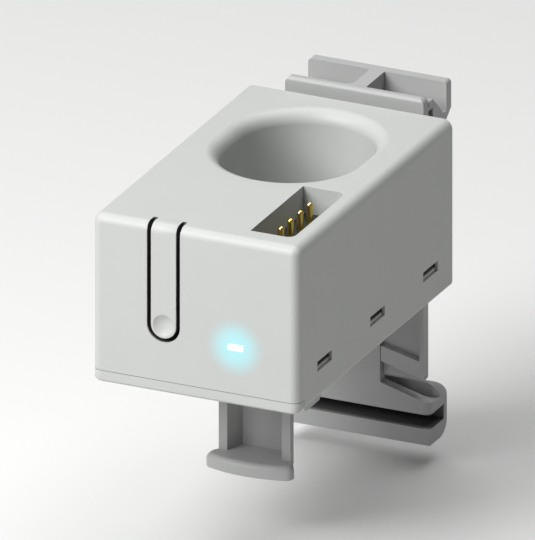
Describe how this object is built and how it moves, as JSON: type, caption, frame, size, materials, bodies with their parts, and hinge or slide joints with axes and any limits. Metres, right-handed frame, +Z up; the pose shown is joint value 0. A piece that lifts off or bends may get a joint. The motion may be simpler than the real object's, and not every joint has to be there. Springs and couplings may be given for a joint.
{
  "type": "din rail current sensor",
  "caption": "Small current sensor with an oval conductor window, a push button, a lamp, a pin connector and a sprung clip for 35 mm mounting rail.",
  "frame": {"origin": "middle of the rail's front plane, level with the middle of its height, on the housing's middle plane", "axes": "+X along the rail, to the right seen from the front; +Y away from the front, into the rail; +Z up along the conductor"},
  "size_m": [0.0254, 0.05, 0.0417],
  "materials": {
    "housing_plastic": "satin moulded, light grey",
    "clip_plastic": "satin moulded, grey",
    "lamp_white": "clear, milky white",
    "board_green": "solder resist",
    "black_plastic": "moulded black",
    "gilt_metal": "gilt, polished",
    "tinned_metal": "tinned",
    "core_steel": "wound strip",
    "capacitor_tan": "ceramic",
    "spring_steel": "drawn wire"
  },
  "bodies": {
    "housing": {"housing_cover": "housing_plastic", "base_plate": "housing_plastic", "lamp_window": "lamp_white", "status_lamp": "lamp_white", "circuit_board": "board_green", "switch_body": "black_plastic", "switch_feet": "tinned_metal", "header_block": "black_plastic", "header_pins": "gilt_metal", "magnetic_core": "core_steel", "core_holder": "black_plastic", "hall_element": "black_plastic", "hall_leads": "tinned_metal", "controller_chip": "black_plastic", "line_driver_chip": "black_plastic", "chip_leads": "tinned_metal", "capacitors": "capacitor_tan", "rail_bracket": "clip_plastic", "latch_spring": "spring_steel"},
    "button": {"button_tongue": "housing_plastic"},
    "plunger": {"switch_plunger": "black_plastic"},
    "latch": {"rail_latch": "clip_plastic"}
  },
  "joints": [
    {"name": "button_press", "type": "hinge", "parent": "housing", "child": "button", "pos_m": [-0.00392, -0.0421, 0.0182], "axis": [1, 0, 0], "range_deg": [0, 1.2], "stiffness_Nm_per_rad": 1},
    {"name": "plunger_slide", "type": "slide", "parent": "housing", "child": "plunger", "axis": [0, 1, 0], "range_m": [0, 0.00026]},
    {"name": "latch_slide", "type": "slide", "parent": "housing", "child": "latch", "axis": [0, 0, -1], "range_m": [0, 0.0024], "stiffness_N_per_m": 400, "springref_m": -0.004, "deforming": ["latch_spring"]}
  ],
  "couplings": [
    {"joint": "plunger_slide", "follows": "button_press", "m_per_rad": 0.0121}
  ]
}
